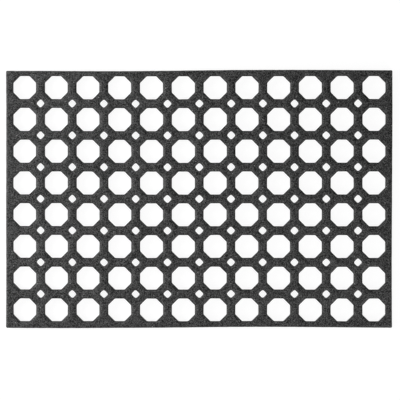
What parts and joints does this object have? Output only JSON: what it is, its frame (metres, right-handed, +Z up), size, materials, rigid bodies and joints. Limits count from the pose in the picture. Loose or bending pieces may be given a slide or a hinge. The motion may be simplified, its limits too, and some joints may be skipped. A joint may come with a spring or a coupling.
{
  "type": "door mat",
  "caption": "Open-lattice rubber door mat: octagonal cells with small drain holes between them, sloped rims on the tread side and short drainage feet underneath.",
  "frame": {"origin": "on the floor under the middle of the mat", "axes": "+X along the mat's length, +Y along its width, +Z up through the tread face"},
  "size_m": [0.6, 0.4, 0.016],
  "materials": {
    "rubber": "matt moulded rubber, dark neutral grey, fine grained with a little dust"
  },
  "bodies": {
    "root": {"front_border": "rubber", "back_border": "rubber", "left_border": "rubber", "right_border": "rubber", "rib_01": "rubber", "rib_02": "rubber", "rib_03": "rubber", "rib_04": "rubber", "rib_05": "rubber", "rib_06": "rubber", "rib_07": "rubber", "rib_08": "rubber", "rib_09": "rubber", "rib_10": "rubber", "rib_11": "rubber"}
  },
  "joints": []
}
